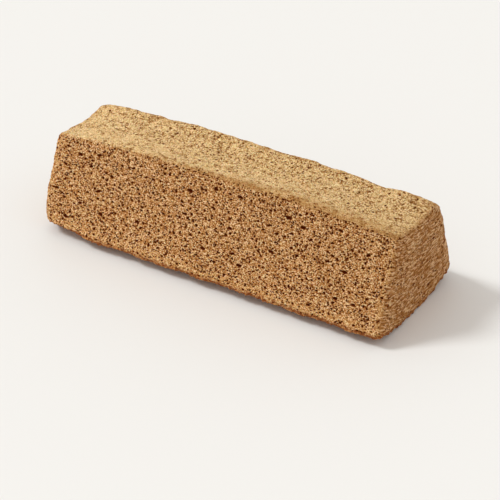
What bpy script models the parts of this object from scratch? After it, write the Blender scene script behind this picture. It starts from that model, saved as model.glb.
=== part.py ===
"""A stick of baumkuchen, the ring cake that is baked in thin coats on a turning spit.

The baked log is a thick tube. This stick is one lengthwise slice of it, cut from the
spit hole to the outer skin, and it lies on its wide, slightly rounded outer side. All of
it is one piece of sponge, so it is one solid. +X runs along the spit, the front cut faces
-Y, and the origin is the middle of the spot that the stick rests on. Sizes are in metres.
"""

import math
import random

import bmesh
import bpy
from mathutils import Matrix, Vector, noise

# The log and the slice that is taken from it
LENGTH = 0.1378  # at the narrow side
OUTER_RADIUS = 0.0737
HOLE_RADIUS = 0.0370
SLICE_ANGLE = math.radians(43)
COAT = 0.0016  # one baked layer of batter

# How the soft sponge gives way
FLATTENING = 0.24  # the coats curve this much less than they did round the spit
REST_WIDTH = 0.020  # the stick rests flat on its round side over this width
CROWN = 0.0022  # the narrow side is this much lower at its ends than in the middle
END_LEAN = 0.0011  # each end reaches this much further out at the wide side
EDGE_ROUNDING = 0.0025

# Slow swells of the surface, and shorter dents: how long they are, how deep, and which
# part of the endless noise they are taken from
SWELL_LENGTH = 0.024
SWELL_DEPTH = 0.0012
SWELL_PLACE = Vector((38, 12, 31))
DENT_LENGTH = 0.009
DENT_DEPTH = 0.0005
DENT_PLACE = Vector((7, 3, 5))
UNDERSIDE_SHARE = 0.4  # the outer skin is this much smoother than the cuts
UNDERSIDE_REACH = 0.002  # the outer skin ends this far from the log's outside
WORN_DEPTH = 0.0017  # the lower front corner at the -X end has crumbled this deep
WORN_REACH = 0.0060

# The largest air holes that the knife has opened, drawn out along the coats
HOLES_IN_CUT = 50
HOLES_IN_END = 6
HOLE_LENGTHS = (0.0020, 0.0036)
HOLE_HEIGHT_SHARE = 0.5
HOLE_DEPTH = 0.0011
HOLE_SPACING = 0.0045
HOLE_MARGIN = 0.0050  # holes keep this far from the stick's edges
HOLE_TURN = math.radians(20)  # at most this far from the line of the coats
SEED = 9

# How finely the surface is divided, and how round its edges are drawn
LENGTH_STEPS = 35
DEPTH_STEPS = 9
ANGLE_STEPS = 8
ROUNDING_STEPS = 3
SHARP_ANGLE = math.radians(45)

CRUMB_COLOUR = (0.376, 0.189, 0.076, 1.0)  # linear RGB
CRUMB_ROUGHNESS = 0.9

DEPTH = OUTER_RADIUS - HOLE_RADIUS
SPIT = Vector((0, 0, OUTER_RADIUS))  # a point on the spit's axis, which runs along X
REST_ARC = OUTER_RADIUS - math.sqrt(OUTER_RADIUS**2 - (REST_WIDTH / 2) ** 2)
REST_RISE = REST_ARC * (1 - FLATTENING)


def clear_objects():
    """Empties the scene that Blender starts with."""
    for thing in list(bpy.data.objects):
        bpy.data.objects.remove(thing)


def crumb_material():
    """The brown sponge, with no gloss."""
    material = bpy.data.materials.new("baked_sponge")
    material.use_nodes = True
    shader = material.node_tree.nodes["Principled BSDF"]
    shader.inputs["Base Color"].default_value = CRUMB_COLOUR
    shader.inputs["Roughness"].default_value = CRUMB_ROUGHNESS
    shader.inputs["Metallic"].default_value = 0.0
    return material


def swept_slice():
    """The slice with sharp edges: its front cut, swept round the spit to its back cut."""
    bm = bmesh.new()
    stand_up = Matrix.Rotation(math.pi / 2, 4, "X")
    to_crust = Matrix.Translation((0, 0, -(OUTER_RADIUS + HOLE_RADIUS) / 2))
    to_front = Matrix.Rotation(-SLICE_ANGLE / 2, 4, "X")
    size = Matrix.Diagonal((LENGTH, DEPTH, 1, 1))
    bmesh.ops.create_grid(
        bm,
        x_segments=LENGTH_STEPS,
        y_segments=DEPTH_STEPS,
        size=0.5,
        matrix=Matrix.Translation(SPIT) @ to_front @ to_crust @ stand_up @ size,
    )
    bmesh.ops.spin(
        bm,
        geom=bm.verts[:] + bm.edges[:] + bm.faces[:],
        cent=SPIT,
        axis=(1, 0, 0),
        angle=SLICE_ANGLE,
        steps=ANGLE_STEPS,
    )
    bmesh.ops.remove_doubles(bm, verts=bm.verts[:], dist=1e-6)
    bmesh.ops.recalc_face_normals(bm, faces=bm.faces[:])
    return bm


def round_edges(bm):
    """Rounds the twelve edges, which crumble under the knife."""
    sharp = [e for e in bm.edges if e.is_manifold and e.calc_face_angle() > SHARP_ANGLE]
    bmesh.ops.bevel(
        bm,
        geom=sharp,
        offset=EDGE_ROUNDING,
        segments=ROUNDING_STEPS,
        profile=0.5,
        affect="EDGES",
        clamp_overlap=True,
    )


def below_spit(radius, angle):
    """From the spit to a place this far out, at this angle from straight down."""
    return Vector((0, radius * math.sin(angle), -radius * math.cos(angle)))


def spit_distance(point):
    """How far a point is from the spit's axis."""
    return math.hypot(point.y - SPIT.y, point.z - SPIT.z)


def sagged(point):
    """Where a point of the straight slice goes when the sponge settles."""
    along = point.x / (LENGTH / 2)
    radius = spit_distance(point)
    inner = (OUTER_RADIUS - radius) / DEPTH  # 0 on the outer skin, 1 at the spit hole
    arc_rise = point.z - (SPIT.z - radius)
    x = point.x + END_LEAN * along * (1 - inner)
    z = point.z - CROWN * along**2 * inner - FLATTENING * arc_rise
    return Vector((x, point.y, z))


def wear(point):
    """How much of the worn corner is gone at a point."""
    corner = SPIT + below_spit(OUTER_RADIUS, -SLICE_ANGLE / 2)
    corner.x = -LENGTH / 2
    distance = (point - corner).length
    return WORN_DEPTH * math.exp(-((distance / WORN_REACH) ** 2))


def unevenness(point):
    """How far the surface stands out at a point, or in where it is negative."""
    swell = SWELL_DEPTH * noise.noise(point / SWELL_LENGTH + SWELL_PLACE)
    dent = DENT_DEPTH * noise.noise(point / DENT_LENGTH + DENT_PLACE)
    underside = spit_distance(point) > OUTER_RADIUS - UNDERSIDE_REACH
    return (swell + dent) * (UNDERSIDE_SHARE if underside else 1) - wear(point)


def make_uneven(bm):
    """Settles the slice and raises and lowers its surface a little."""
    bm.normal_update()
    moves = [v.normal * unevenness(v.co) for v in bm.verts]
    for vert, move in zip(bm.verts, moves):
        vert.co = sagged(vert.co) + move


def flatten_rest(bm):
    """Cuts off the lowest sliver, so that the stick has a flat spot to rest on."""
    cut = bmesh.ops.bisect_plane(
        bm,
        geom=bm.verts[:] + bm.edges[:] + bm.faces[:],
        plane_co=(0, 0, REST_RISE),
        plane_no=(0, 0, -1),
        clear_outer=True,
    )
    rim = [e for e in cut["geom_cut"] if isinstance(e, bmesh.types.BMEdge)]
    bmesh.ops.holes_fill(bm, edges=rim, sides=0)
    bmesh.ops.recalc_face_normals(bm, faces=bm.faces[:])


def centre_on_rest(bm):
    """Moves the slice so that its box stands centred on the origin; returns the move."""
    low = Vector([min(v.co[k] for v in bm.verts) for k in range(3)])
    high = Vector([max(v.co[k] for v in bm.verts) for k in range(3)])
    move = -Vector(((low.x + high.x) / 2, (low.y + high.y) / 2, low.z))
    bmesh.ops.translate(bm, verts=bm.verts[:], vec=move)
    return move


def cut_face_spots(draw, side):
    """Places on a cut face, at depths where two coats meet. side is -1 front, 1 back.

    Each is a point, the direction of the coats there and the direction out of the face.
    """
    coats = int((DEPTH - 2 * HOLE_MARGIN) / COAT)
    angle = side * SLICE_ANGLE / 2
    outward = Vector((0, math.cos(angle), math.sin(angle))) * side
    while True:
        radius = HOLE_RADIUS + HOLE_MARGIN + COAT * draw.randint(0, coats)
        point = SPIT + below_spit(radius, angle)
        point.x = draw.uniform(-1, 1) * (LENGTH / 2 - HOLE_MARGIN)
        yield point, Vector((1, 0, 0)), outward


def end_face_spots(draw, side):
    """The same on an end face, where the coats curve round the spit. side is -1 or 1."""
    while True:
        radius = draw.uniform(HOLE_RADIUS + HOLE_MARGIN, OUTER_RADIUS - HOLE_MARGIN)
        angle = draw.uniform(-1, 1) * (SLICE_ANGLE / 2 - HOLE_MARGIN / radius)
        point = SPIT + below_spit(radius, angle)
        point.x = side * LENGTH / 2
        along_coat = Vector((0, math.cos(angle), math.sin(angle)))
        yield point, along_coat, Vector((side, 0, 0))


def spaced(spots, count):
    """The first spots that keep their distance from each other."""
    kept = []
    for spot in spots:
        if all((spot[0] - other[0]).length > HOLE_SPACING for other in kept):
            kept.append(spot)
        if len(kept) == count:
            return kept


def add_hole(bm, draw, spot, move):
    """One flattened ball, sunk half into the surface, for an air hole."""
    point, along, outward = spot
    length = draw.uniform(*HOLE_LENGTHS)
    axes = Matrix((along, outward.cross(along), outward)).transposed().to_4x4()
    size = Matrix.Diagonal((length / 2, length / 2 * HOLE_HEIGHT_SHARE, HOLE_DEPTH, 1))
    turn = Matrix.Rotation(draw.uniform(-HOLE_TURN, HOLE_TURN), 4, "Z")
    centre = sagged(point) + outward * unevenness(point) + move
    matrix = Matrix.Translation(centre) @ axes @ turn @ size
    bmesh.ops.create_icosphere(bm, subdivisions=1, radius=1, matrix=matrix)


def hole_cutters(move):
    """One hidden object of separate balls, one for each large air hole."""
    draw = random.Random(SEED)
    spots = []
    for side in (-1, 1):
        spots += spaced(cut_face_spots(draw, side), HOLES_IN_CUT)
        spots += spaced(end_face_spots(draw, side), HOLES_IN_END)
    bm = bmesh.new()
    for spot in spots:
        add_hole(bm, draw, spot, move)
    cutters = object_from(bm, "hole_cutters")
    cutters.hide_render = True
    cutters.display_type = "WIRE"
    return cutters


def object_from(bm, name):
    """Turns a bmesh into an object of the scene."""
    mesh = bpy.data.meshes.new(name)
    bm.to_mesh(mesh)
    bm.free()
    thing = bpy.data.objects.new(name, mesh)
    bpy.context.collection.objects.link(thing)
    return thing


def make_stick():
    """The whole stick of cake."""
    bm = swept_slice()
    round_edges(bm)
    make_uneven(bm)
    flatten_rest(bm)
    move = centre_on_rest(bm)
    bmesh.ops.triangulate(bm, faces=bm.faces[:])
    stick = object_from(bm, "sponge")
    stick.data.materials.append(crumb_material())
    stick.data.shade_smooth()
    stick.data.set_sharp_from_angle(angle=SHARP_ANGLE)
    holes = stick.modifiers.new("air_holes", "BOOLEAN")
    holes.operation = "DIFFERENCE"
    holes.solver = "EXACT"
    holes.object = hole_cutters(move)


clear_objects()
make_stick()
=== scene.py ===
# %% [markdown]
# # A stick of baumkuchen
#
# Baumkuchen is a ring cake that is baked on a turning spit, one thin coat of batter over
# the other. This stick is a lengthwise wedge of such a log. It lies on its wide outer side,
# the wall of the spit hole is its narrow top, and the two long sides and the ends are cuts.
#
# The whole stick is one piece of sponge, so this lesson makes one mesh. It starts as a
# plain block and gets its shape, its crumb and its colours step by step.

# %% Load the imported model
import math
import random

import bpy
import numpy as np
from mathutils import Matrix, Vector, kdtree, noise


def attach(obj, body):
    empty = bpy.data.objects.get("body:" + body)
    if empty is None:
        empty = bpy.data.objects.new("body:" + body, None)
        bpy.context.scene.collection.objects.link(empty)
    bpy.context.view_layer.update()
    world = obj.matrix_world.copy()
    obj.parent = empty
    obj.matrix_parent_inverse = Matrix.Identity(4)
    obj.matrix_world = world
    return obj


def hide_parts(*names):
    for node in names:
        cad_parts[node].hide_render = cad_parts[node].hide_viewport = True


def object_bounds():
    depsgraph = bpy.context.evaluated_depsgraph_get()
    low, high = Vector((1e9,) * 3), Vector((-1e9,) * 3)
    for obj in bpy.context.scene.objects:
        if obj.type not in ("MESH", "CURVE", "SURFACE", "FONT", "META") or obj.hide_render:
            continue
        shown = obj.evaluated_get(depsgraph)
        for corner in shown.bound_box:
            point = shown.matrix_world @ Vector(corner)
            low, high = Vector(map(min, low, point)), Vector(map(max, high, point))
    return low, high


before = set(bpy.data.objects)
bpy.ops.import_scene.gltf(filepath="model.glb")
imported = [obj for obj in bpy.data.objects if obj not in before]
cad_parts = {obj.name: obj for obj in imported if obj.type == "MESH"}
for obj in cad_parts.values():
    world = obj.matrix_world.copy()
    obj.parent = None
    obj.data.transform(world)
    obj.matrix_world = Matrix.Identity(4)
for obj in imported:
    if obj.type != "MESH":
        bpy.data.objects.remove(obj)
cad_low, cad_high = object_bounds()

print("the CAD box is", tuple(round(1000 * n, 2) for n in cad_high - cad_low), "mm")

# %% [markdown]
# ## The sizes
#
# Everything is measured from the spit, as the baker's knife does: how far along it, how far
# out from it and at which angle round it. These are the same sizes that the solid part is
# made from, so that the looks and the solid agree. All lengths are in metres, and one
# helper lets the small ones be written in millimetres.

# %% The sizes of the slice
def mm(length):
    """Millimetres, as metres."""
    return length / 1000


LENGTH = mm(137.8)  # along the spit, at the narrow side
OUTER_RADIUS = mm(73.7)  # the log's outer skin
HOLE_RADIUS = mm(37.0)  # the wall of the spit hole
SLICE_ANGLE = math.radians(43)
COAT = mm(1.6)  # one baked layer of batter
DEPTH = OUTER_RADIUS - HOLE_RADIUS
SPIT = np.array((0, 0, OUTER_RADIUS))  # a point on the spit, above the surface it lies on
print("the slice is", round(1000 * DEPTH, 1), "mm thick, about", round(DEPTH / COAT), "coats")

# %% [markdown]
# ## The block
#
# The cut face is a flat rectangle, and the slice is what that rectangle sweeps as it turns
# round the spit. Spin does just that. A cube could be bent instead, but spin gives the
# right wedge at once: narrow at the hole, wide at the skin. The grid starts in the middle of
# the spit, is stood up, moved out to where the sponge is, and turned to the front cut.

# %% Sweep the cut face round the spit
BLOCK_STEPS = (70, 19, 14)  # along the spit, out from it and round it


def use_only(thing):
    """Selects one object and nothing else, because operators act on all that is selected."""
    bpy.ops.object.select_all(action="DESELECT")
    thing.select_set(True)
    bpy.context.view_layer.objects.active = thing


bpy.ops.object.select_all(action="DESELECT")
bpy.ops.mesh.primitive_grid_add(x_subdivisions=BLOCK_STEPS[0], y_subdivisions=BLOCK_STEPS[1], size=1)
stick = bpy.context.object
stick.name = "sponge_stick"
stick.data.name = "sponge_stick"
stick.scale = (LENGTH, DEPTH, 1)
bpy.ops.object.transform_apply(scale=True)
stick.rotation_euler.x = math.pi / 2
stick.location.z = -(OUTER_RADIUS + HOLE_RADIUS) / 2
bpy.ops.object.transform_apply(location=True, rotation=True)
stick.rotation_euler.x = -SLICE_ANGLE / 2
bpy.ops.object.transform_apply(rotation=True)

bpy.ops.object.mode_set(mode="EDIT")
bpy.ops.mesh.select_all(action="SELECT")
bpy.ops.mesh.spin(steps=BLOCK_STEPS[2], angle=-SLICE_ANGLE, center=(0, 0, 0), axis=(1, 0, 0))
bpy.ops.mesh.select_all(action="SELECT")
bpy.ops.mesh.remove_doubles(threshold=mm(0.01))
bpy.ops.mesh.normals_make_consistent(inside=False)
bpy.ops.object.mode_set(mode="OBJECT")
print("the block has", len(stick.data.polygons), "faces")

# %% [markdown]
# ## The same block on every run
#
# Spin lists the faces, and the corners of each, in an order that changes from run to run, and
# later steps round numbers and break ties in that order. So the faces are listed anew, each
# from its lowest point and all of them sorted. The shape doesn't change, and neither do the
# stick's last digits from one run to the next.

# %% List the faces in one order
def from_lowest(face):
    """The points of a face in their order round it, starting with the lowest number."""
    start = face.index(min(face))
    return face[start:] + face[:start]


spots = [point.co.copy() for point in stick.data.vertices]
faces = sorted(from_lowest(list(face.vertices)) for face in stick.data.polygons)
stick.data.clear_geometry()
stick.data.from_pydata(spots, [], faces)
print("listed", len(faces), "faces in one order")

# %% [markdown]
# ## Enough points for crumb
#
# An air hole is about a millimetre wide, so the points have to be a quarter of that apart.
# A Subdivision Surface modifier set to Simple splits each face into four without rounding
# anything. Three levels make 64 small faces of each.

# %% Divide the block finely
POINT_LEVELS = 3


def apply_modifier(thing, kind, **settings):
    """Adds a modifier with these settings and makes it part of the mesh."""
    use_only(thing)
    modifier = thing.modifiers.new(kind.lower(), kind)
    for name, value in settings.items():
        setattr(modifier, name, value)
    bpy.ops.object.modifier_apply(modifier=modifier.name)


apply_modifier(stick, "SUBSURF", subdivision_type="SIMPLE", levels=POINT_LEVELS, render_levels=POINT_LEVELS)
block = np.empty(len(stick.data.vertices) * 3)
stick.data.vertices.foreach_get("co", block)
block = block.reshape(-1, 3)
print("now it has", len(block), "points")

# %% [markdown]
# ## Rounded edges
#
# The edges of soft sponge wear round under the knife. A bevel would need even faces, so the
# points are moved instead. A smaller slice inside this one, its core, lies one rounding
# radius below every face. Each point goes from the nearest place on the core straight out
# to that distance: on a face nothing changes, and near an edge it gives a round. The
# direction it went is also the way that the surface faces there.

# %% Round the edges
EDGE_ROUNDING = mm(2.5)


def polar(points):
    """How far out from the spit the points are, and at which angle from straight down."""
    return np.hypot(points[:, 1], points[:, 2]), np.arctan2(points[:, 1], -points[:, 2])


def round_the_spit(along, radius, angle):
    """The points at these places, with the spit through the origin."""
    return np.stack((along, radius * np.sin(angle), -radius * np.cos(angle)), axis=1)


block_radius, block_angle = polar(block)
core_along = np.clip(block[:, 0], EDGE_ROUNDING - LENGTH / 2, LENGTH / 2 - EDGE_ROUNDING)
core_radius = np.clip(block_radius, HOLE_RADIUS + EDGE_ROUNDING, OUTER_RADIUS - EDGE_ROUNDING)
widest = SLICE_ANGLE / 2 - np.arcsin(EDGE_ROUNDING / core_radius)
core_angle = np.clip(block_angle, -widest, widest)
core = round_the_spit(core_along, core_radius, core_angle)
outward = block - core
outward /= np.linalg.norm(outward, axis=1)[:, None]
rounded = core + EDGE_ROUNDING * outward
radius, angle = polar(rounded)

# Which way the surface faces: along the spit, away from it, and round it to the back
away = round_the_spit(0 * core_angle, np.ones_like(core_angle), core_angle)
to_back = outward[:, 1] * np.cos(core_angle) + outward[:, 2] * np.sin(core_angle)
facing = np.stack((outward[:, 0], (outward * away).sum(1), to_back), axis=1)
print("rounded", int((abs(facing).max(1) < 0.99).sum()), "points near the edges")

# %% [markdown]
# ## The slice settles
#
# Fresh sponge gives way under its own weight. The curved coats lie flatter than they did
# round the spit, the narrow side is lower at its ends and the ends lean out at the bottom.
# Slow swells and shorter dents make the flat faces a little uneven. They come from Perlin
# noise, which gives the same bumps on every run. The bottom is smoother, because it is the
# baked skin, and one lower corner has crumbled away.

# %% Settle the slice
FLATTENING = 0.24  # the coats curve this much less than they did round the spit
CROWN = mm(2.2)  # the narrow side is this much lower at its ends than in the middle
END_LEAN = mm(1.1)  # each end reaches this much further out at the wide side
SWELL_LENGTH, SWELL_DEPTH, SWELL_PLACE = mm(24), mm(1.2), (38, 12, 31)
DENT_LENGTH, DENT_DEPTH, DENT_PLACE = mm(9), mm(0.5), (7, 3, 5)
UNDERSIDE_SHARE = 0.4  # how high the swells of the outer skin are, beside those of the cuts
WORN_DEPTH = mm(1.7)  # the lower front corner at the -X end has crumbled this deep
WORN_REACH = mm(6.0)


def smooth_step(low, high, value):
    """0 below low, 1 above high and a smooth curve between them."""
    part = np.clip((value - low) / (high - low), 0, 1)
    return part * part * (3 - 2 * part)


def noise_at(points, size, place):
    """Perlin noise, about -0.7 to 0.7, with bumps of this size at each point."""
    return np.array([noise.noise(p) for p in (points / size + place).tolist()])


standing = rounded + SPIT
along = rounded[:, 0] / (LENGTH / 2)
inner = (OUTER_RADIUS - radius) / DEPTH
arc_rise = standing[:, 2] - (OUTER_RADIUS - radius)
settled = standing.copy()
settled[:, 0] += END_LEAN * along * (1 - inner)
settled[:, 2] -= CROWN * along**2 * inner + FLATTENING * arc_rise

swell = SWELL_DEPTH * noise_at(standing, SWELL_LENGTH, SWELL_PLACE)
swell += DENT_DEPTH * noise_at(standing, DENT_LENGTH, DENT_PLACE)
swell *= 1 - (1 - UNDERSIDE_SHARE) * smooth_step(OUTER_RADIUS - mm(3), OUTER_RADIUS - mm(1), radius)
worn_corner = round_the_spit([-LENGTH / 2], OUTER_RADIUS, np.array([-SLICE_ANGLE / 2]))
swell -= WORN_DEPTH * np.exp(-((np.linalg.norm(rounded - worn_corner, axis=1) / WORN_REACH) ** 2))
smooth = settled + outward * swell[:, None]
print("the swells go from", round(1000 * swell.min(), 2), "to", round(1000 * swell.max(), 2), "mm")

# %% [markdown]
# ## Zones
#
# Where the surface faces tells what it is. The knife opened the crumb on the long sides and
# the ends. The wall of the spit hole and the outer skin are baked, so they are closed and
# smooth. Each zone is a weight from 0 to 1 for every point.

# %% Name the zones
cut_zone = smooth_step(0.35, 0.8, abs(facing[:, 2]))
end_zone = smooth_step(0.35, 0.8, abs(facing[:, 0]))
top_zone = smooth_step(0.62, 0.9, -facing[:, 1])
under_zone = smooth_step(0.62, 0.9, facing[:, 1])
edge_zone = 1 - smooth_step(0.8, 0.99, abs(facing).max(1))
for name, zone in (("cuts", cut_zone), ("ends", end_zone), ("top", top_zone), ("underside", under_zone)):
    print(name, round(100 * zone.mean()), "% of the points")

# %% [markdown]
# ## Where the air holes are
#
# Steam leaves bubbles between the coats, so the holes sit in rough rows and are drawn out
# along them. Large ones are few and small ones many. For the large ones, a generator yields
# one random place after the other with the direction of the coats there, and a filter takes
# those that lie well apart. That is simpler than moving holes away from each other later.

# %% Places for the largest holes
HOLE_SPACING = mm(4.5)
HOLE_MARGIN = mm(5.0)  # how far they keep from the edges


def place(along, radius, angle):
    """A point on the slice, with the spit through the origin."""
    return Vector((along, radius * math.sin(angle), -radius * math.cos(angle)))


def cut_spots(draw, side):
    """Places on a long side, where two coats meet. side is -1 for the front, 1 for the back."""
    coats = int((DEPTH - 2 * HOLE_MARGIN) / COAT)
    while True:
        radius = HOLE_RADIUS + HOLE_MARGIN + COAT * draw.randint(0, coats)
        along = draw.uniform(-1, 1) * (LENGTH / 2 - HOLE_MARGIN)
        yield place(along, radius, side * SLICE_ANGLE / 2), Vector((1, 0, 0))


def end_spots(draw, side):
    """Places on an end, where the coats curve round the spit. side is -1 or 1."""
    while True:
        radius = draw.uniform(HOLE_RADIUS + HOLE_MARGIN, OUTER_RADIUS - HOLE_MARGIN)
        angle = draw.uniform(-1, 1) * (SLICE_ANGLE / 2 - HOLE_MARGIN / radius)
        yield place(side * LENGTH / 2, radius, angle), Vector((0, math.cos(angle), math.sin(angle)))


def spaced(spots, count):
    """The first spots that keep their distance from each other."""
    kept = []
    for spot in spots:
        if all((spot[0] - other[0]).length > HOLE_SPACING for other in kept):
            kept.append(spot)
        if len(kept) == count:
            return kept


print("the largest holes keep", round(1000 * HOLE_SPACING, 2), "mm apart")

# %% [markdown]
# ## The largest holes
#
# They are at the same places as in the solid part, so the same draws are made in the same
# order. Each hole is written down as a centre, the direction of the coats, a small turn away
# from it, and its length, height and depth. They open narrower than the plain ovals of the
# solid, because torn crumb hangs over their rims.

# %% The largest holes
LARGE_SEED = 9
HOLES_IN_CUT, HOLES_IN_END = 50, 6
HOLE_LENGTHS = (mm(2.0), mm(3.6))
HOLE_TURN = math.radians(20)
OPEN_LENGTH, OPEN_HEIGHT = 0.64, 0.34  # how much of its length a hole is open, along and across
LARGE_DEPTH = mm(0.9)

draw = random.Random(LARGE_SEED)
large = []
for side in (-1, 1):
    large += spaced(cut_spots(draw, side), HOLES_IN_CUT)
    large += spaced(end_spots(draw, side), HOLES_IN_END)
holes = []
for centre, coats_way in large:
    length = draw.uniform(*HOLE_LENGTHS)
    turn = draw.uniform(-HOLE_TURN, HOLE_TURN)
    holes.append((centre, coats_way, turn, OPEN_LENGTH * length, OPEN_HEIGHT * length, LARGE_DEPTH))
print("large holes:", len(holes))

# %% [markdown]
# ## Many more holes
#
# Between the large holes the crumb is full of medium ones, about a millimetre long, and the
# baked skins have a few. A random place is drawn in its own way on a long side, on an end and
# on a skin. Holes under half a millimetre are left to the material, because they would need
# too many points.

# %% Places for the medium holes
EDGE_MARGIN = mm(0.6)  # how far a hole keeps from the edges
TO_SEAM = 0.35  # how much of the way to the next seam between two coats a hole is drawn


def cut_place(side):
    """A place on a long side, drawn a little towards the seam between two coats."""
    radius = draw.uniform(HOLE_RADIUS + EDGE_MARGIN, OUTER_RADIUS - EDGE_MARGIN)
    radius += TO_SEAM * (COAT * round(radius / COAT) - radius)
    along = draw.uniform(-1, 1) * (LENGTH / 2 - EDGE_MARGIN)
    return place(along, radius, side * SLICE_ANGLE / 2), Vector((1, 0, 0))


def end_place(side):
    """A place on an end."""
    radius = draw.uniform(HOLE_RADIUS + EDGE_MARGIN, OUTER_RADIUS - EDGE_MARGIN)
    angle = draw.uniform(-1, 1) * (SLICE_ANGLE / 2 - EDGE_MARGIN / radius)
    return place(side * LENGTH / 2, radius, angle), Vector((0, math.cos(angle), math.sin(angle)))


def skin_place(radius):
    """A place on the wall of the spit hole or on the outer skin."""
    angle = draw.uniform(-1, 1) * (SLICE_ANGLE / 2 - EDGE_MARGIN / radius)
    return place(draw.uniform(-1, 1) * (LENGTH / 2 - EDGE_MARGIN), radius, angle), Vector((1, 0, 0))


print("the coats meet every", 1000 * COAT, "mm")

# %% [markdown]
# ## Scatter the medium holes
#
# Holes in a real crumb don't touch, since two bubbles that meet become one. So the longest
# are placed first, and one that lies too close to its neighbours is drawn again. Measuring
# every pair would be slow, so the holes are kept by the squares of a grid that is wider than
# any gap, and only the squares around a new hole are searched.

# %% Scatter the medium holes
MEDIUM_SEED = 4
GRID_SIZE = mm(1.8)
TRIES = 14
REACH = 0.42  # how far a hole reaches from its middle, as a part of its length
TURN_SPREAD = 0.35  # how far, in radians, most of the holes turn from the line of the coats
AROUND = [(a, b, c) for a in (-1, 0, 1) for b in (-1, 0, 1) for c in (-1, 0, 1)]


def square_of(point):
    """The square of the grid that a point is in."""
    return tuple(round(value / GRID_SIZE) for value in point)


def scatter(draw_place, where, count, lengths, gap):
    """Adds holes that keep a gap to each other and to those that are there."""
    squares = {}
    for hole in holes:
        squares.setdefault(square_of(hole[0]), []).append((hole[0], hole[3]))
    shortest, longest = lengths
    sizes = [shortest + (longest - shortest) * draw.random() ** 2 for _ in range(count)]
    sizes.sort(reverse=True)
    for length in sizes:
        for _ in range(TRIES):
            centre, coats_way = draw_place(where)
            home = square_of(centre)
            near = [squares.get(tuple(h + a for h, a in zip(home, step)), ()) for step in AROUND]
            others = [other for group in near for other in group]
            if all((centre - spot).length > REACH * (length + size) + gap for spot, size in others):
                height = length * draw.uniform(0.65, 1.0)
                turn = draw.gauss(0, TURN_SPREAD)
                holes.append((centre, coats_way, turn, length, height, 0.65 * length))
                squares.setdefault(home, []).append((centre, length))
                break


# Each call says how many holes, their lengths from shortest to longest, and the gap
draw = random.Random(MEDIUM_SEED)
for side in (-1, 1):
    scatter(cut_place, side, 1100, (mm(0.6), mm(1.15)), mm(0.35))
    scatter(end_place, side, 90, (mm(0.8), mm(1.3)), mm(0.8))
scatter(skin_place, HOLE_RADIUS, 150, (mm(0.7), mm(1.15)), mm(0.6))
scatter(skin_place, OUTER_RADIUS, 200, (mm(0.8), mm(1.2)), mm(0.8))
print("holes in all:", len(holes))

# %% [markdown]
# ## Press the holes in
#
# A tree of the points finds those near each hole quickly. A hole has a round bottom and
# steep sides, and noise bends its rim, because no bubble in a cake is a true oval. How deep
# each point lies in a hole is kept, since the painted shade inside the holes needs it too.

# %% Press the holes in
tree = kdtree.KDTree(len(rounded))
for index, point in enumerate(rounded.tolist()):
    tree.insert(point, index)
tree.balance()

ragged = 1 + 0.45 * noise_at(standing, mm(0.7), (3, 8, 21))
sunk = np.zeros(len(rounded))
for centre, coats_way, turn, length, height, depth in holes:
    near = np.array([found[1] for found in tree.find_range(centre, 0.75 * length)], dtype=int)
    if len(near) == 0:
        continue
    off = rounded[near] - np.array(centre)
    way = np.array(coats_way)
    across = np.cross(outward[near].mean(0), way)
    across /= np.linalg.norm(across)
    a, b = off @ way, off @ across
    a, b = a * math.cos(turn) + b * math.sin(turn), b * math.cos(turn) - a * math.sin(turn)
    reach = ((2 * a / length) ** 2 + (2 * b / height) ** 2) * ragged[near] ** 2
    bowl = np.clip(1 - reach, 0, 1) ** 0.75
    sunk[near] = np.maximum(sunk[near], depth * bowl)
print("the deepest hole is", round(1000 * sunk.max(), 2), "mm deep")

# %% [markdown]
# ## Relief between the holes
#
# Cut crumb isn't flat between its holes: torn cell walls stand up as grains. The ends show
# the coats as fine ribs, drawn out along them by the knife. The baked skins are smoother,
# with small wrinkles. Each kind of relief is noise of that size times its zone's weight, so
# that one kind runs softly into the next.

# %% Grain, ribs and wrinkles
GRAIN_HEIGHT = mm(0.13)  # on the long cuts

grain = noise_at(standing, mm(0.75), (50, 2, 9)) + 0.6 * noise_at(standing, mm(0.4), (5, 61, 13))
lumps = noise_at(standing, mm(2.6), (17, 23, 4))
relief = grain * (GRAIN_HEIGHT * cut_zone + mm(0.05) * end_zone + mm(0.03) * (top_zone + under_zone))
relief += mm(0.12) * lumps * (1 - 0.6 * cut_zone)

ribs = np.sin(2 * np.pi * (radius + mm(0.5) * lumps) / COAT)
along_the_coats = np.stack((radius, 0.3 * angle * radius, 0.3 * rounded[:, 0]), axis=1)
drag = noise_at(along_the_coats, mm(0.6), (4, 40, 14))
relief += (mm(0.06) * ribs + mm(0.06) * drag) * end_zone

# The rear part of the top is more wrinkled than the front part
rear = smooth_step(-1.2, 0.6, angle / (SLICE_ANGLE / 2)) * smooth_step(-1.1, -0.5, along)
wrinkle = smooth_step(0.55, 1, 1 - 2.4 * abs(noise_at(standing, mm(1.9), (90, 31, 2))))
relief -= mm(0.10) * wrinkle * (top_zone * (0.35 + 0.65 * rear) + 0.4 * under_zone)
print("the grain is", round(2000 * GRAIN_HEIGHT * abs(grain).max(), 2), "mm from low to high")

# %% [markdown]
# ## Crumbled and proud edges
#
# Crumbs have broken off the edges, most of all at the bottom, where the brown outer coat
# stays behind in flakes. A few places also stand a little proud or are worn away. Each is a
# soft bump, strongest at one place or line and gone a few millimetres from it.

# %% Crumbled and proud edges
def near_to(spot, reach):
    """1 at a place, or at a place for each point, and less the further a point is from it."""
    return np.exp(-((np.linalg.norm(rounded - spot, axis=1) / reach) ** 2))


# Crumbs gone or hanging on, along all the edges
lower_edge = edge_zone * smooth_step(0.1, 0.5, facing[:, 1])
relief += mm(0.7) * lower_edge * noise_at(standing, mm(1.3), (71, 5, 40))
relief += mm(0.45) * edge_zone * np.maximum(noise_at(standing, mm(3.4), (8, 15, 33)) + 0.1, 0)

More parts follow.
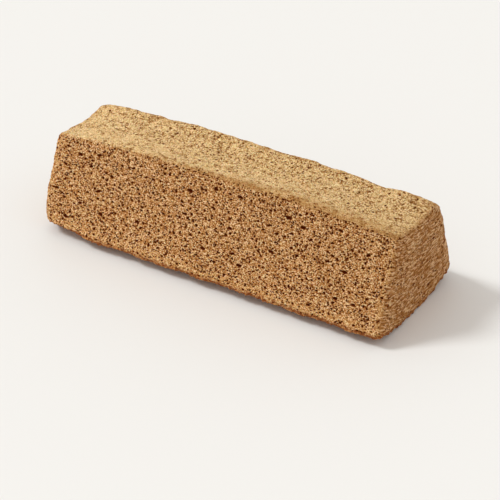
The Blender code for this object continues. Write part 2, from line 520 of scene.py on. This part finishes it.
# Single places: the top is proud at the -X end, the +X end is full, and corners are worn
proud_end = round_the_spit([-LENGTH / 2], HOLE_RADIUS, np.array([-0.1]))
worn_top = round_the_spit([-LENGTH / 2], HOLE_RADIUS, np.array([SLICE_ANGLE / 2]))
other_top = worn_top * (-1, 1, 1)  # the same corner at the +X end
full_end = round_the_spit([LENGTH / 2], HOLE_RADIUS + mm(11), np.array([0.3]))
relief += mm(0.9) * near_to(proud_end, mm(6.5)) * smooth_step(0.2, 0.8, -facing[:, 1])
relief -= mm(0.9) * near_to(worn_top, mm(4)) + mm(1.4) * near_to(worn_corner, mm(4.5))
relief += mm(0.8) * near_to(full_end, mm(9)) * end_zone - mm(0.7) * near_to(other_top, mm(4))

# Long bites out of the lower front edge, deeper in its -X half, and a proud rear top edge
lower_front = round_the_spit(rounded[:, 0], OUTER_RADIUS, np.full(len(rounded), -SLICE_ANGLE / 2))
rear_top = round_the_spit(rounded[:, 0], HOLE_RADIUS, np.full(len(rounded), SLICE_ANGLE / 2))
worn_edge = round_the_spit([-LENGTH / 2 + mm(13)], OUTER_RADIUS, np.array([-SLICE_ANGLE / 2]))
bite = mm(0.4) + mm(0.9) * (1 - smooth_step(-0.3, 0.3, along))
relief += (mm(0.3) + bite * noise_at(standing, mm(7), (12, 3, 44))) * near_to(lower_front, mm(2.5))
relief += mm(0.35) * near_to(rear_top, mm(3))
relief -= mm(0.9) * near_to(worn_edge, mm(7))

# Ends that are fuller towards the top
relief += mm(0.4) * end_zone * smooth_step(0.3, 1, inner)
crumbed = smooth + outward * (relief - sunk)[:, None]
print("the relief goes from", round(1000 * relief.min(), 2), "to", round(1000 * relief.max(), 2), "mm")

# %% [markdown]
# ## The flat spot and the place
#
# The stick rests flat on a strip of its round side, so no point may be lower than that
# strip. Tiny pits of the grain stay in it, since even a pressed skin isn't glass smooth.
# Then it is moved so that its box stands centred on the origin, as the solid does.

# %% Rest it and put it in its place
REST_WIDTH = mm(20)
rest_rise = (OUTER_RADIUS - math.sqrt(OUTER_RADIUS**2 - (REST_WIDTH / 2) ** 2)) * (1 - FLATTENING)
crumbed[:, 2] = np.maximum(crumbed[:, 2], rest_rise + mm(0.1) * np.maximum(grain, 0))
middle = (smooth.min(0) + smooth.max(0)) / 2
crumbed -= (middle[0], middle[1], rest_rise)
stick.data.vertices.foreach_set("co", crumbed.ravel())
stick.data.update()
print("it is", round(1000 * crumbed[:, 2].max(), 2), "mm high, its lowest point at", crumbed[:, 2].min())

# %% [markdown]
# ## What the colour needs to know
#
# The material can't work out where a rim or a pale band is, so it is measured here, from
# the distances to the edges. Painting by hand would work too, but this follows the shape.
# The rims of the top are browner, because the thin edge bakes most. The cuts are paler just
# above their lower edge, where light bounced up from below is painted in, and beside the ends.

# %% Measure the bands along the edges
front_gap = (angle + SLICE_ANGLE / 2) * radius  # measured round the spit
rear_gap = SLICE_ANGLE * radius - front_gap
lower_gap = OUTER_RADIUS - radius
end_gap = LENGTH / 2 - abs(rounded[:, 0])


def band(gap, middle, width):
    """1 at this distance from an edge, and less on both sides of it."""
    return np.exp(-(((gap - middle) / width) ** 2))


rim_width = mm(1.6) + mm(4.2) * smooth_step(-0.5, 1, along)  # broader towards the +X end
front_rim = band(np.maximum(front_gap, 0), 0, rim_width) * smooth_step(-0.9, 0.1, along)
end_rim = 0.45 * band(end_gap, 0, mm(2.5))
rear_rim = 0.8 * band(rear_gap, 0, mm(2.5)) * smooth_step(-0.1, 0.2, lumps)
rim = smooth_step(0.15, 0.6, -facing[:, 1]) * np.maximum(np.maximum(front_rim, end_rim), rear_rim)
pale_end = 0.7 * band(end_gap, mm(1.4), mm(1.8)) * smooth_step(-0.25, 0.35, lumps)
# The band just above the lower edge is painted light, bounced up from below
pale = np.maximum(0.4 * band(lower_gap, mm(2.8), mm(1.5)), pale_end) * cut_zone
for name, zone in (("browner rim", rim), ("paler cut", pale)):
    print(name, "on", round(100 * (zone > 0.3).mean(), 1), "% of the points")

# %% [markdown]
# ## Store it on the mesh
#
# The mesh carries what the material can't know: each point stores a few numbers in named
# attributes, which a shader reads with an Attribute node. A single number is a FLOAT and a
# place is a FLOAT_VECTOR. The last three say where the point lay on the plain block, which
# only the unfolding needs.

# %% Store the attributes
def store(name, values):
    """Keeps one number, or one place, for each point on the mesh."""
    kind, key = ("FLOAT", "value") if values.ndim == 1 else ("FLOAT_VECTOR", "vector")
    stick.data.attributes.new(name, kind, "POINT").data.foreach_set(key, values.astype(np.float32).ravel())


store("coats", np.stack((radius, angle * radius, rounded[:, 0]), axis=1))
store("hole", np.clip(sunk / mm(0.35), 0, 1))
store("top_skin", smooth_step(0.45, 0.95, -facing[:, 1]))
store("under_skin", smooth_step(0.0, 0.9 - 0.7 * end_zone, facing[:, 1]))
store("end_cut", end_zone)
store("rear", rear)
store("rim", rim)
store("pale", pale)
store("map_along", block[:, 0])
store("map_radius", block_radius)
store("map_angle", block_angle)
print("attributes:", [a.name for a in stick.data.attributes if not a.name.startswith(".")])

# %% [markdown]
# ## Fewer faces
#
# Most of these small faces lie on plain crumb and show nothing. Decimate merges points
# where the surface is nearly flat and leaves them where it bends, at the rims of the holes.
# Merging can push a point out a hair, so the points are held inside the solid's box after it.

# %% Thin out the mesh
MOST_FACES = 196_000
BOX_MARGIN = mm(0.02)

stick.data.calc_loop_triangles()
apply_modifier(stick, "DECIMATE", ratio=MOST_FACES / len(stick.data.loop_triangles))
bpy.ops.object.shade_smooth()

points = np.empty(len(stick.data.vertices) * 3)
stick.data.vertices.foreach_get("co", points)
lowest = np.array(cad_low) + (BOX_MARGIN, BOX_MARGIN, 0)
highest = np.array(cad_high) - BOX_MARGIN
stick.data.vertices.foreach_set("co", np.clip(points.reshape(-1, 3), lowest, highest).ravel())
stick.data.update()
print("thinned to", len(stick.data.polygons), "faces")

# %% [markdown]
# ## Unfold the surface
#
# When the colours are baked for other programs they are painted on a flat map, so each face
# needs a place there. Blender can unwrap by itself, but on rough crumb it makes thousands of
# scraps. The plain block under the crumb has six sides, and those lie flat, so each face goes
# to the side that it came from. That is the side whose middle its own middle is nearest to.

# %% Unfold the surface
MIDDLE_RADIUS = (OUTER_RADIUS + HOLE_RADIUS) / 2
mesh = stick.data


def read(name):
    """The numbers of an attribute, one for each point. The attribute isn't needed after that."""
    values = np.empty(len(mesh.vertices))
    mesh.attributes[name].data.foreach_get("value", values)
    mesh.attributes.remove(mesh.attributes[name])
    return values


corner_point = np.empty(len(mesh.loops), dtype=int)
mesh.loops.foreach_get("vertex_index", corner_point)
corners = np.empty(len(mesh.polygons), dtype=int)
mesh.polygons.foreach_get("loop_total", corners)
face_of = np.repeat(np.arange(len(corners)), corners)

map_along = read("map_along")[corner_point]
map_radius = read("map_radius")[corner_point]
map_angle = read("map_angle")[corner_point]
from_middle = (
    map_along / (LENGTH / 2),
    map_angle / (SLICE_ANGLE / 2),
    (map_radius - MIDDLE_RADIUS) / (DEPTH / 2),
)
to_sides = [sign * np.bincount(face_of, part) / corners for part in from_middle for sign in (-1, 1)]
side_of = np.argmax(to_sides, axis=0)[face_of]  # -X end, +X end, front, back, top, underside
print("faces on each side:", np.bincount(np.argmax(to_sides, axis=0)))

# %% [markdown]
# ## Stack the six sides in a square
#
# Each side becomes a strip of the map, as high as the side is on the cake, and a small gap
# keeps the colours of two strips apart. The two ends are narrow, so they share one strip. In
# the end all is divided by the length and the height of the stack, because a map goes from
# 0 to 1 both ways.

# %% Stack the six sides in a square
PANEL_GAP = mm(1.2)

across = [(map_angle + SLICE_ANGLE / 2) * MIDDLE_RADIUS] * 2 + [map_along + LENGTH / 2] * 4
up = [map_radius - HOLE_RADIUS] * 4 + [(map_angle + SLICE_ANGLE / 2) * r for r in (HOLE_RADIUS, OUTER_RADIUS)]
heights = [DEPTH, 0, DEPTH, DEPTH, SLICE_ANGLE * HOLE_RADIUS, SLICE_ANGLE * OUTER_RADIUS]
starts = [sum(h + PANEL_GAP for h in heights[:k] if h) for k in range(6)]
starts[1] = starts[0]
shifts = [0, SLICE_ANGLE * MIDDLE_RADIUS + PANEL_GAP, 0, 0, 0, 0]
total = sum(h + PANEL_GAP for h in heights if h) - PANEL_GAP

flat = np.zeros((len(mesh.loops), 2))
for side in range(6):
    here = side_of == side
    flat[here, 0] = (across[side][here] + shifts[side]) / LENGTH
    flat[here, 1] = (up[side][here] + starts[side]) / total
mesh.uv_layers.new(name="OFBake").data.foreach_set("uv", np.clip(flat, 0, 1).ravel())
print("the map is", round(1000 * LENGTH), "by", round(1000 * total), "mm")

# %% [markdown]
# ## The material: baked sponge
#
# The real surface is flour, egg and sugar that set as foam, in thin coats of about 1.6 mm
# that are each browned by the fire. It is matt, and a little light passes through its thin
# cell walls, which a small amount of subsurface scattering gives. Browning isn't even, so no
# part has one flat colour. The colours are mixed in layers: crumb, skin, rims, crust, holes
# and rings. An image could hold all that, but noise stays sharp at any size and has no seams.
# Two helpers keep the steps short: one turns colours to what Blender takes, the other adds a
# node.

# %% Two helpers for materials
def linear(hex_colour):
    """An sRGB colour such as "#C9A171" as the linear RGBA that Blender's sockets take."""
    values = [int(hex_colour[i : i + 2], 16) / 255 for i in (1, 3, 5)]
    return tuple(v / 12.92 if v <= 0.04045 else ((v + 0.055) / 1.055) ** 2.4 for v in values) + (1.0,)


def add(tree, kind, settings=None, **sockets):
    """Adds a node, sets its options, and fills its sockets with values or other nodes."""
    node = tree.nodes.new("ShaderNode" + kind)
    for name, value in (settings or {}).items():
        setattr(node, name, value)
    for key, value in sockets.items():
        name = key.replace("_", " ")
        socket = next(s for s in node.inputs if s.enabled and (s.name == name or s.identifier == key))
        if isinstance(value, bpy.types.Node):
            value = next(s for s in value.outputs if s.enabled)
        if isinstance(value, bpy.types.NodeSocket):
            tree.links.new(value, socket)
        else:
            socket.default_value = value
    return node


print("middle grey is", round(linear("#808080")[0], 3), "of full light")

# %% [markdown]
# ## The sponge itself
#
# A Principled shader is set to a rough surface with hardly any gloss and a little scattering,
# which reaches furthest in red, as in all baked dough. Then come the nodes that every later
# layer reads: the place on the stick, the place in the coats and the stored numbers.

# %% The sponge itself
# Baked sponge: set foam of flour, egg and sugar. Matt all over, and a little light goes through.
sponge = bpy.data.materials.new("baked_sponge_crumb")
sponge.use_nodes = True
graph = sponge.node_tree
shader = graph.nodes["Principled BSDF"]
shader.inputs["Roughness"].default_value = 0.85
shader.inputs["Specular IOR Level"].default_value = 0.06
shader.inputs["Subsurface Weight"].default_value = 0.25
shader.inputs["Subsurface Radius"].default_value = (1.0, 0.4, 0.15)
shader.inputs["Subsurface Scale"].default_value = mm(1)

place_on = add(graph, "TexCoord").outputs["Object"]
coats = add(graph, "Attribute", {"attribute_name": "coats"}).outputs["Vector"]
stored = {}
for name in ("hole", "top_skin", "under_skin", "end_cut", "rear", "rim", "pale"):
    stored[name] = add(graph, "Attribute", {"attribute_name": name}).outputs["Fac"]
print("the material reads", len(stored) + 1, "attributes")

# %% [markdown]
# ## Crumb colour
#
# Close up, crumb is a patchwork of grains of about 0.4 mm: thin walls that catch the light,
# and brown hollows between them. A noise with bumps of that size runs through a colour ramp
# from brown to cream, which is partly the crumb's own uneven tone and partly painted
# highlight on the walls and painted shade in the hollows. A second noise is added, stretched
# about six times along the coats, most of all on the ends, because there the knife drags the
# crumb into fine strokes. The scale of a noise is how many bumps fit in a metre, so
# 1 / mm(0.4) makes them 0.4 mm wide.

# %% Crumb colour
GRAIN_SIZE, STROKE_SIZE, PATCH_SIZE = mm(0.4), mm(0.36), mm(2.4)
MULTIPLY, MULTIPLY_ADD = {"operation": "MULTIPLY"}, {"operation": "MULTIPLY_ADD"}
SUBTRACT = {"operation": "SUBTRACT"}

fine = add(graph, "TexNoise", Vector=place_on, Scale=1 / GRAIN_SIZE, Detail=0.0).outputs["Fac"]
patchy = add(graph, "TexNoise", Vector=place_on, Scale=1 / PATCH_SIZE, Detail=2.0).outputs["Fac"]

drawn_out = add(graph, "Mapping", Vector=coats, Scale=(1.0, 0.16, 0.16))
stroke = add(graph, "TexNoise", Vector=drawn_out, Scale=1 / STROKE_SIZE, Detail=1.0).outputs["Fac"]
stroke_share = add(graph, "Math", MULTIPLY_ADD, Value=stored["end_cut"], Value_001=1.0, Value_002=0.3)
stroke_off = add(graph, "Math", SUBTRACT, Value=stroke, Value_001=0.5)
fine_loss = add(graph, "Math", MULTIPLY, Value=stored["end_cut"], Value_001=0.65)
fine_left = add(graph, "Mix", Factor=fine_loss, A=fine, B=0.5)
tone = add(graph, "Math", MULTIPLY_ADD, Value=stroke_off, Value_001=stroke_share, Value_002=fine_left)

# The ramp's cream is partly painted highlight on the grain walls, its brown partly painted shade in the
# hollows
crumb = add(graph, "ValToRGB", Fac=tone)
stops = crumb.color_ramp.elements
stops[0].position, stops[0].color = 0.34, linear("#9B6534")
stops[1].position, stops[1].color = 0.68, linear("#EBC698")
stops.new(0.5).color = linear("#BA844B")
print("crumb grains are", round(1000 * GRAIN_SIZE, 2), "mm wide")

# %% [markdown]
# ## Skin colour and its fine folds
#
# The wall of the spit hole baked against paper or metal, so its skin is closed, paler and
# more golden than the crumb. Where it dried unevenly it has thin folds, whose creases get
# painted shade further down. A fold is a line where a noise crosses one value: the distance
# to that value, turned round, gives a thin line. The lines show only in patches, more of them
# towards the rear.

# %% Skin colour and its fine folds
DIMPLE_SIZE = mm(1.5)

skin = add(graph, "ValToRGB", Fac=fine)
stops = skin.color_ramp.elements
stops[0].position, stops[0].color = 0.32, linear("#B28A52")
stops[1].position, stops[1].color = 0.68, linear("#F0D3A2")
stops.new(0.5).color = linear("#D9B47E")

dimple_noise = add(graph, "TexNoise", Vector=place_on, Scale=1 / DIMPLE_SIZE, Detail=1.5, Roughness=0.6)
dimples = dimple_noise.outputs["Fac"]
from_fold = add(graph, "Math", SUBTRACT, Value=dimples, Value_001=0.47)
fold_gap = add(graph, "Math", {"operation": "ABSOLUTE"}, Value=from_fold)
fold_line = add(graph, "MapRange", Value=fold_gap, From_Min=0.01, From_Max=0.06, To_Min=1.0, To_Max=0.0)
fold_chance = add(graph, "Math", MULTIPLY_ADD, Value=stored["rear"], Value_001=0.1, Value_002=patchy)
fold_here = add(graph, "MapRange", Value=fold_chance, From_Min=0.5, From_Max=0.58)
fold_shown = add(graph, "Math", MULTIPLY, Value=fold_line, Value_001=fold_here)
fold = add(graph, "Math", MULTIPLY, Value=fold_shown, Value_001=stored["top_skin"])
print("folds follow bumps of", round(1000 * DIMPLE_SIZE, 2), "mm")

# %% [markdown]
# ## Small pores
#
# Most air holes are half a millimetre across or less, too small for the mesh. A Voronoi
# texture splits space into cells of about 0.7 mm, a little longer along the coats. Each has a
# random colour, and a pore is the ball round a cell's middle. The random colour sets how
# large it is, so that no two are alike, and a bent place makes their rims ragged. The cut
# sides have the most, the ends fewer and the baked skin only a few. In the paler bands of
# the cuts they shrink. Their dark colour, painted shade, is laid on further down.

# %% Small pores
PORE_SPACING = mm(0.7)

bent = add(graph, "TexNoise", Vector=place_on, Scale=1 / mm(0.67), Detail=1.0).outputs["Color"]
bend = add(graph, "VectorMath", MULTIPLY_ADD, Vector=bent, Vector_001=(mm(0.45),) * 3, Vector_002=coats)
pore_place = add(graph, "Mapping", Vector=bend, Scale=(1.25, 0.8, 0.8))
cells = add(graph, "TexVoronoi", Vector=pore_place, Scale=1 / PORE_SPACING)
chances = add(graph, "SeparateColor", Color=cells.outputs["Color"])
chance = chances.outputs["Red"]

cut_size = add(graph, "MapRange", Value=chance, To_Min=0.06, To_Max=0.55)
pale_band_size = add(graph, "Math", MULTIPLY_ADD, Value=stored["pale"], Value_001=-0.15, Value_002=cut_size)
on_crust = stored["under_skin"]
crust_size = add(graph, "Math", MULTIPLY_ADD, Value=on_crust, Value_001=-0.3, Value_002=pale_band_size)
end_size = add(graph, "MapRange", Value=chance, To_Min=-0.02, To_Max=0.5)
skin_size = add(graph, "MapRange", Value=chance, To_Min=-0.24, To_Max=0.42)
open_size = add(graph, "Mix", Factor=stored["end_cut"], A=crust_size, B=end_size)
size = add(graph, "Mix", Factor=stored["top_skin"], A=open_size, B=skin_size)
inside = add(graph, "Math", SUBTRACT, Value=size, Value_001=cells.outputs["Distance"])
pore = add(graph, "MapRange", Value=inside, From_Min=0.0, From_Max=0.06)
print("pores lie about", round(1000 * PORE_SPACING, 2), "mm apart")

# %% [markdown]
# ## Pinholes in the skin
#
# The baked skin and the ends also have single pinholes, up to nearly a millimetre across and
# set wider apart. They are made as the pores are, with cells of nearly twice the size.

# %% Pinholes in the skin
PIN_SPACING = mm(1.3)

wide_cells = add(graph, "TexVoronoi", Vector=pore_place, Scale=1 / PIN_SPACING)
wide_chance = add(graph, "SeparateColor", Color=wide_cells.outputs["Color"]).outputs["Red"]
pin_size = add(graph, "MapRange", Value=wide_chance, To_Min=-0.36, To_Max=0.2)
rear_size = add(graph, "Math", MULTIPLY_ADD, Value=stored["rear"], Value_001=0.15, Value_002=pin_size)
pins_on = add(graph, "Math", {"operation": "MAXIMUM"}, Value=stored["top_skin"], Value_001=stored["end_cut"])
shown_size = add(graph, "Mix", Factor=pins_on, A=-0.5, B=rear_size)
pin_gap = wide_cells.outputs["Distance"]
inside_pin = add(graph, "Math", SUBTRACT, Value=shown_size, Value_001=pin_gap)
pin = add(graph, "MapRange", Value=inside_pin, From_Min=0.0, From_Max=0.05)
print("pinholes lie about", round(1000 * PIN_SPACING, 2), "mm apart")

# %% [markdown]
# ## From crumb to skin, pale bands and brown rims
#
# Each zone that the mesh carries lays its colour over the one before with a Mix node. The
# ends are a little darker and greyer than the sides: partly their own colour, partly painted
# shade. The pale bands are golden; the one just above the lower edge is painted bounce light.
# The rims of the top are browner, in patches, because heat never reaches an edge evenly.

# %% Lay the zones over each other
COLOURS = {"data_type": "RGBA"}  # a Mix node for colours, not for numbers
TINT = {"data_type": "RGBA", "blend_type": "MULTIPLY"}

skinned = add(graph, "Mix", COLOURS, Factor=stored["top_skin"], A=crumb, B=skin)
# The ends: darker and greyer, partly their own colour and partly painted shade
ends_toned_and_shaded = add(graph, "Mix", TINT, Factor=stored["end_cut"], A=skinned, B=linear("#F2EDEA"))
# Pale bands: the one just above the lower edge is painted bounce light
pale_share = add(graph, "Math", MULTIPLY, Value=stored["pale"], Value_001=0.45)
paler_bands = add(graph, "Mix", COLOURS, Factor=pale_share, A=ends_toned_and_shaded, B=linear("#DDAE6E"))

rim_patch = add(graph, "MapRange", Value=patchy, From_Min=0.35, From_Max=0.6, To_Min=0.5, To_Max=0.95)
rim_share = add(graph, "Math", MULTIPLY, Value=stored["rim"], Value_001=rim_patch)
rim_colour = add(graph, "Mix", COLOURS, Factor=fine, A=linear("#865828"), B=linear("#D0A266"))
rimmed = add(graph, "Mix", COLOURS, Factor=rim_share, A=paler_bands, B=rim_colour)
print("four zones laid over each other")

# %% [markdown]
# ## The outer crust
#
# The last coat met the fire, so the underside is the brownest part. Seen from above it is
# only a thin red-brown line along the lower edges, broken where crumbs are missing. Adding a
# patchy noise to its weight before the cut-off makes that broken line.

# %% The outer crust
BIT_SIZE = mm(0.77)

crust_break = add(graph, "Math", MULTIPLY_ADD, Value=patchy, Value_001=1.6, Value_002=-0.8)
crust_sum = add(graph, "Math", {"operation": "ADD"}, Value=stored["under_skin"], Value_001=crust_break)
crust_share = add(graph, "MapRange", Value=crust_sum, From_Min=0.2, From_Max=0.6, To_Max=0.9)
bits = add(graph, "TexNoise", Vector=place_on, Scale=1 / BIT_SIZE, Detail=1.0).outputs["Fac"]
crumbs = add(graph, "MapRange", Value=bits, From_Min=0.47, From_Max=0.67)
crust = add(graph, "Mix", COLOURS, Factor=crumbs, A=linear("#7C3C16"), B=linear("#C48C54"))
crusted = add(graph, "Mix", COLOURS, Factor=crust_share, A=rimmed, B=crust)
print("crust crumbs are", round(1000 * BIT_SIZE, 2), "mm wide")

# %% [markdown]
# ## Painted shade round the rims
#
# The thin rim of a hole lets the dark inside show through, so round each hole lies a soft
# brown fringe of painted shade. A pore's fringe starts a little outside its rim, where the
# distance to the rim is still negative. It is laid before the dark colour, so that it only
# shows outside the hole.

# %% Paint shade round the rims of the pores
# A soft brown fringe of painted shade round pores, holes and pinholes
pore_rim_shade = add(graph, "MapRange", Value=inside, From_Min=-0.12, From_Max=0.02, To_Max=0.6)
hole_rim_shade = add(graph, "MapRange", Value=stored["hole"], From_Min=0.0, From_Max=0.5, To_Max=0.5)
rim_shade = add(graph, "Math", {"operation": "MAXIMUM"}, Value=pore_rim_shade, Value_001=hole_rim_shade)
rim_shaded = add(graph, "Mix", COLOURS, Factor=rim_shade, A=crusted, B=linear("#98540C"))
pin_rim_shade = add(graph, "MapRange", Value=inside_pin, From_Min=-0.06, From_Max=0.02, To_Max=0.4)
pin_rim_shaded = add(graph, "Mix", COLOURS, Factor=pin_rim_shade, A=rim_shaded, B=linear("#A8763A"))
print("rims stained")

# %% [markdown]
# ## Painted shade in holes and pores
#
# A hole is dark because little light gets in and less comes out, so that shade is painted
# in: each kind of hole has a dark colour of its own, warmed by its moist brown walls. The
# small pores differ in depth, so their painted shade differs. A noise breaks up the rims of
# the holes that the mesh has.

# %% Paint shade into the pores, folds and holes
# Painted shade in the small pores, darker in the deeper ones
shallow, deep = linear("#642600"), linear("#320C00")
pore_shade_colour = add(graph, "Mix", COLOURS, Factor=chances.outputs["Green"], A=shallow, B=deep)
pore_shown = add(graph, "MapRange", Value=stored["top_skin"], To_Min=1.0, To_Max=0.95)
pore_shade_share = add(graph, "Math", MULTIPLY, Value=pore, Value_001=pore_shown)
pore_shaded = add(graph, "Mix", COLOURS, Factor=pore_shade_share, A=pin_rim_shaded, B=pore_shade_colour)
# Painted shade in the creases of the folds
fold_shaded = add(graph, "Mix", COLOURS, Factor=fold, A=pore_shaded, B=linear("#84521C"))
# Painted shade in the pinholes
pin_shaded = add(graph, "Mix", COLOURS, Factor=pin, A=fold_shaded, B=linear("#70441A"))

# Painted shade inside the holes that the mesh has, with a ragged edge
rag = add(graph, "TexNoise", Vector=place_on, Scale=1 / mm(0.6), Detail=0.0).outputs["Fac"]
hole_sum = add(graph, "Math", MULTIPLY_ADD, Value=rag, Value_001=0.9, Value_002=stored["hole"])
hole_shade_share = add(graph, "MapRange", Value=hole_sum, From_Min=0.7, From_Max=1.1)
hole_shaded = add(graph, "Mix", COLOURS, Factor=hole_shade_share, A=pin_shaded, B=linear("#5A1E00"))
print("pores, folds, pinholes and holes darkened")

# %% [markdown]
# ## The rings on the ends
#
# Each coat browned a little before the next was poured over it, so a cut end shows thin
# brown rings, one for every coat. A sine of the distance from the spit has a peak once in
# every coat. Only the top of each peak counts, which keeps the rings thin. A noise shifts
# and breaks them, because no coat runs evenly and the knife smears the crumb.

# %% The rings on the ends
spread = add(graph, "SeparateXYZ", Vector=coats)
shifted = add(graph, "Math", MULTIPLY_ADD, Value=patchy, Value_001=mm(0.9), Value_002=spread.outputs["X"])
phase = add(graph, "Math", MULTIPLY, Value=shifted, Value_001=2 * math.pi / COAT)
wave = add(graph, "Math", {"operation": "SINE"}, Value=phase)
ring_line = add(graph, "MapRange", Value=wave, From_Min=0.3, From_Max=0.95)
ring_break = add(graph, "MapRange", Value=stroke, From_Min=0.62, From_Max=0.42, To_Max=0.5)
ring_shown = add(graph, "Math", MULTIPLY, Value=ring_line, Value_001=ring_break)
ring = add(graph, "Math", MULTIPLY, Value=ring_shown, Value_001=stored["end_cut"])
ringed = add(graph, "Mix", COLOURS, Factor=ring, A=hole_shaded, B=linear("#7E4A1E"))
print("a ring every", 1000 * COAT, "mm")

# %% [markdown]
# ## Slow change of shade
#
# The sponge gets slowly lighter outwards from the spit and towards the -X end. The stored
# place in the coats has both: X is the distance from the spit and Z is the way along it.

# %% Slow change of shade
DARKEST, LIGHTEST = 0.92, 1.06

out, way_along = spread.outputs["X"], spread.outputs["Z"]
spread_sum = add(graph, "Math", MULTIPLY_ADD, Value=way_along, Value_001=-0.35, Value_002=out)
shade = add(
    graph, "MapRange", Value=spread_sum, From_Min=mm(15), From_Max=mm(95), To_Min=DARKEST, To_Max=LIGHTEST
)
shaded = add(graph, "VectorMath", {"operation": "SCALE"}, Vector=ringed, Scale=shade)
graph.links.new(shaded.outputs["Vector"], shader.inputs["Base Color"])
print("shade from", DARKEST, "to", LIGHTEST)

# %% [markdown]
# ## Bump
#
# What the mesh is too coarse for still has to catch the light: pores and pinholes dip, grains
# stand up, folds crease and the skin is dimpled. All of that is added to one height for a
# Bump node. It is stronger on the long cuts than on the closed skin and the smeared ends.

# %% Bump
pore_dip = add(graph, "MapRange", Value=inside, From_Min=-0.05, From_Max=0.15)
pin_dip = add(graph, "MapRange", Value=inside_pin, From_Min=-0.03, From_Max=0.12)
height = add(graph, "Math", MULTIPLY_ADD, Value=pore_dip, Value_001=-0.8, Value_002=tone)
for dip, depth in ((pin_dip, -1.0), (fold, -0.7)):
    height = add(graph, "Math", MULTIPLY_ADD, Value=dip, Value_001=depth, Value_002=height)
height = add(graph, "Math", MULTIPLY_ADD, Value=dimples, Value_001=stored["top_skin"], Value_002=height)
strength = add(graph, "MapRange", Value=pins_on, To_Min=0.6, To_Max=0.4)
bump = add(graph, "Bump", Strength=strength, Distance=mm(0.5), Height=height)
graph.links.new(bump.outputs["Normal"], shader.inputs["Normal"])

stick.data.materials.clear()
stick.data.materials.append(sponge)
print("the material has", len(graph.nodes), "nodes")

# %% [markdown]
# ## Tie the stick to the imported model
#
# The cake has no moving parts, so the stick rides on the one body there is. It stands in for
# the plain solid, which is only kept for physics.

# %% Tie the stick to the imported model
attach(stick, "root")
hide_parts("sponge")
print(stick.name, "stands in for the node sponge")

# %% [markdown]
# ## The floor
#
# A plain matt surface, far wider than the stick, that takes its soft shadow.

# %% The floor
bpy.ops.object.select_all(action="DESELECT")
bpy.ops.mesh.primitive_plane_add(size=6)
floor = bpy.context.object
floor.name = "studio_floor"
# Matt white paper: bleached pulp, rolled smooth but not glazed, so it has no mirror at all.
paper = bpy.data.materials.new("matt_white_paper")
paper.use_nodes = True
paper.node_tree.nodes["Principled BSDF"].inputs["Base Color"].default_value = linear("#E7E6E4")
paper.node_tree.nodes["Principled BSDF"].inputs["Roughness"].default_value = 0.6
floor.data.materials.append(paper)
print("the floor is", tuple(floor.dimensions[:2]), "m")

# %% [markdown]
# ## The light
#
# A pale room gives light from all sides, and one broad, soft window light from the upper left
# gives the shadow its direction. A sun lamp with a wide angle does that, and its shadow grows
# softer with distance, as a real window's does.

# %% The light
world = bpy.data.worlds.new("pale_room")
bpy.context.scene.world = world
world.use_nodes = True
background = world.node_tree.nodes["Background"]
background.inputs["Color"].default_value = linear("#FFFBF6")
background.inputs["Strength"].default_value = 0.79

TO_WINDOW = Vector((-0.60, -0.28, 0.74))
bpy.ops.object.select_all(action="DESELECT")
bpy.ops.object.light_add(type="SUN", rotation=TO_WINDOW.to_track_quat("Z", "Y").to_euler())
window = bpy.context.object
window.name = "window"
window.data.energy = 1.65
window.data.angle = math.radians(15)
window.data.color = linear("#FAFEFF")[:3]
print("the window is", round(math.degrees(math.asin(TO_WINDOW.normalized().z))), "degrees above the floor")

# %% [markdown]
# ## The camera
#
# The camera looks down on one corner of the stick from half a metre away, with a long lens,
# so that its far end hardly looks smaller. Its place is worked out from two angles and a
# distance to the point it aims at.

# %% The camera
AZIMUTH, ELEVATION, DISTANCE = math.radians(32.175), math.radians(31.768), mm(547.1)
TARGET = Vector((mm(1.305), mm(4.011), mm(-0.52)))
backwards = Vector(
    (
        math.sin(AZIMUTH) * math.cos(ELEVATION),
        -math.cos(AZIMUTH) * math.cos(ELEVATION),
        math.sin(ELEVATION),
    )
)
bpy.ops.object.camera_add(
    location=TARGET + DISTANCE * backwards, rotation=backwards.to_track_quat("Z", "Y").to_euler()
)
camera = bpy.context.object
camera.name = "camera"
camera.data.sensor_width = 36
camera.data.lens = 110.05
camera.data.clip_start = 0.01
bpy.context.scene.camera = camera
bpy.context.scene.view_settings.view_transform = "Standard"
print("the camera stands", round(camera.location.z, 3), "m above the floor")
